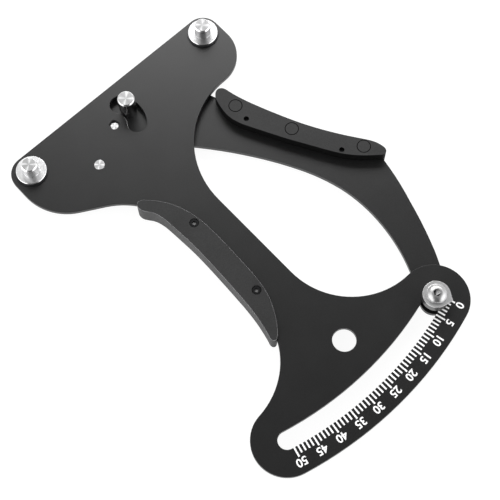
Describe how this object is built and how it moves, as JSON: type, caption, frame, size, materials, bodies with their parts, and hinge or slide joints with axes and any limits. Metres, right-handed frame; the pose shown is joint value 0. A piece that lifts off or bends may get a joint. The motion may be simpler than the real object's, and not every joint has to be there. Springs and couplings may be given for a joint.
{
  "type": "spoke tension meter",
  "caption": "Hand-held spoke tension gauge: a plate with fixed posts and an arc scale, and a sprung lever behind it with a middle post, a grip and a pointer.",
  "frame": {"origin": "centre of the hanging hole, on the front face of the front plate", "axes": "+Z out of the front face, +Y up the tool from the scale to the two fixed posts, +X to the right along the line through the fixed posts; the tool lies on its back"},
  "size_m": [0.1595, 0.2255, 0.021],
  "materials": {
    "dark_plate": "satin dark grey coating",
    "post_steel": "turned and plated",
    "pin_steel": "turned",
    "zinc": "zinc plated",
    "black_washer": "black oxide",
    "black_screw": "black oxide",
    "bush_plastic": "low friction plastic",
    "spring_steel": "drawn wire",
    "grip_plastic": "moulded, fine texture"
  },
  "bodies": {
    "frame": {"front_plate": "dark_plate", "left_fixed_post": "post_steel", "right_fixed_post": "post_steel", "post_flange_washers": "black_washer", "post_rear_washers": "zinc", "post_screws": "black_screw", "pivot_pin": "pin_steel", "pivot_spacer": "bush_plastic", "pivot_washer": "zinc", "pivot_nut": "zinc", "spring_anchor": "pin_steel", "return_spring": "spring_steel", "left_grip_front": "grip_plastic", "left_grip_rear": "grip_plastic", "left_grip_screws": "black_screw"},
    "lever": {"lever_plate": "dark_plate", "moving_post": "post_steel", "moving_post_screw": "black_screw", "right_grip_front": "grip_plastic", "right_grip_rear": "grip_plastic", "right_grip_screws": "black_screw", "pointer_bush": "bush_plastic", "pointer_collar": "post_steel", "pointer_plate": "post_steel", "pointer_screw": "zinc", "pointer_washer": "zinc", "pointer_nut": "zinc"}
  },
  "joints": [
    {"name": "lever_pivot", "type": "hinge", "parent": "frame", "child": "lever", "pos_m": [-0.0064, 0.1658, -0.0053], "axis": [0, 0, -1], "range_deg": [0, 31.5], "stiffness_Nm_per_rad": 0.25, "springref_deg": -52.71, "deforming": ["return_spring"]}
  ]
}
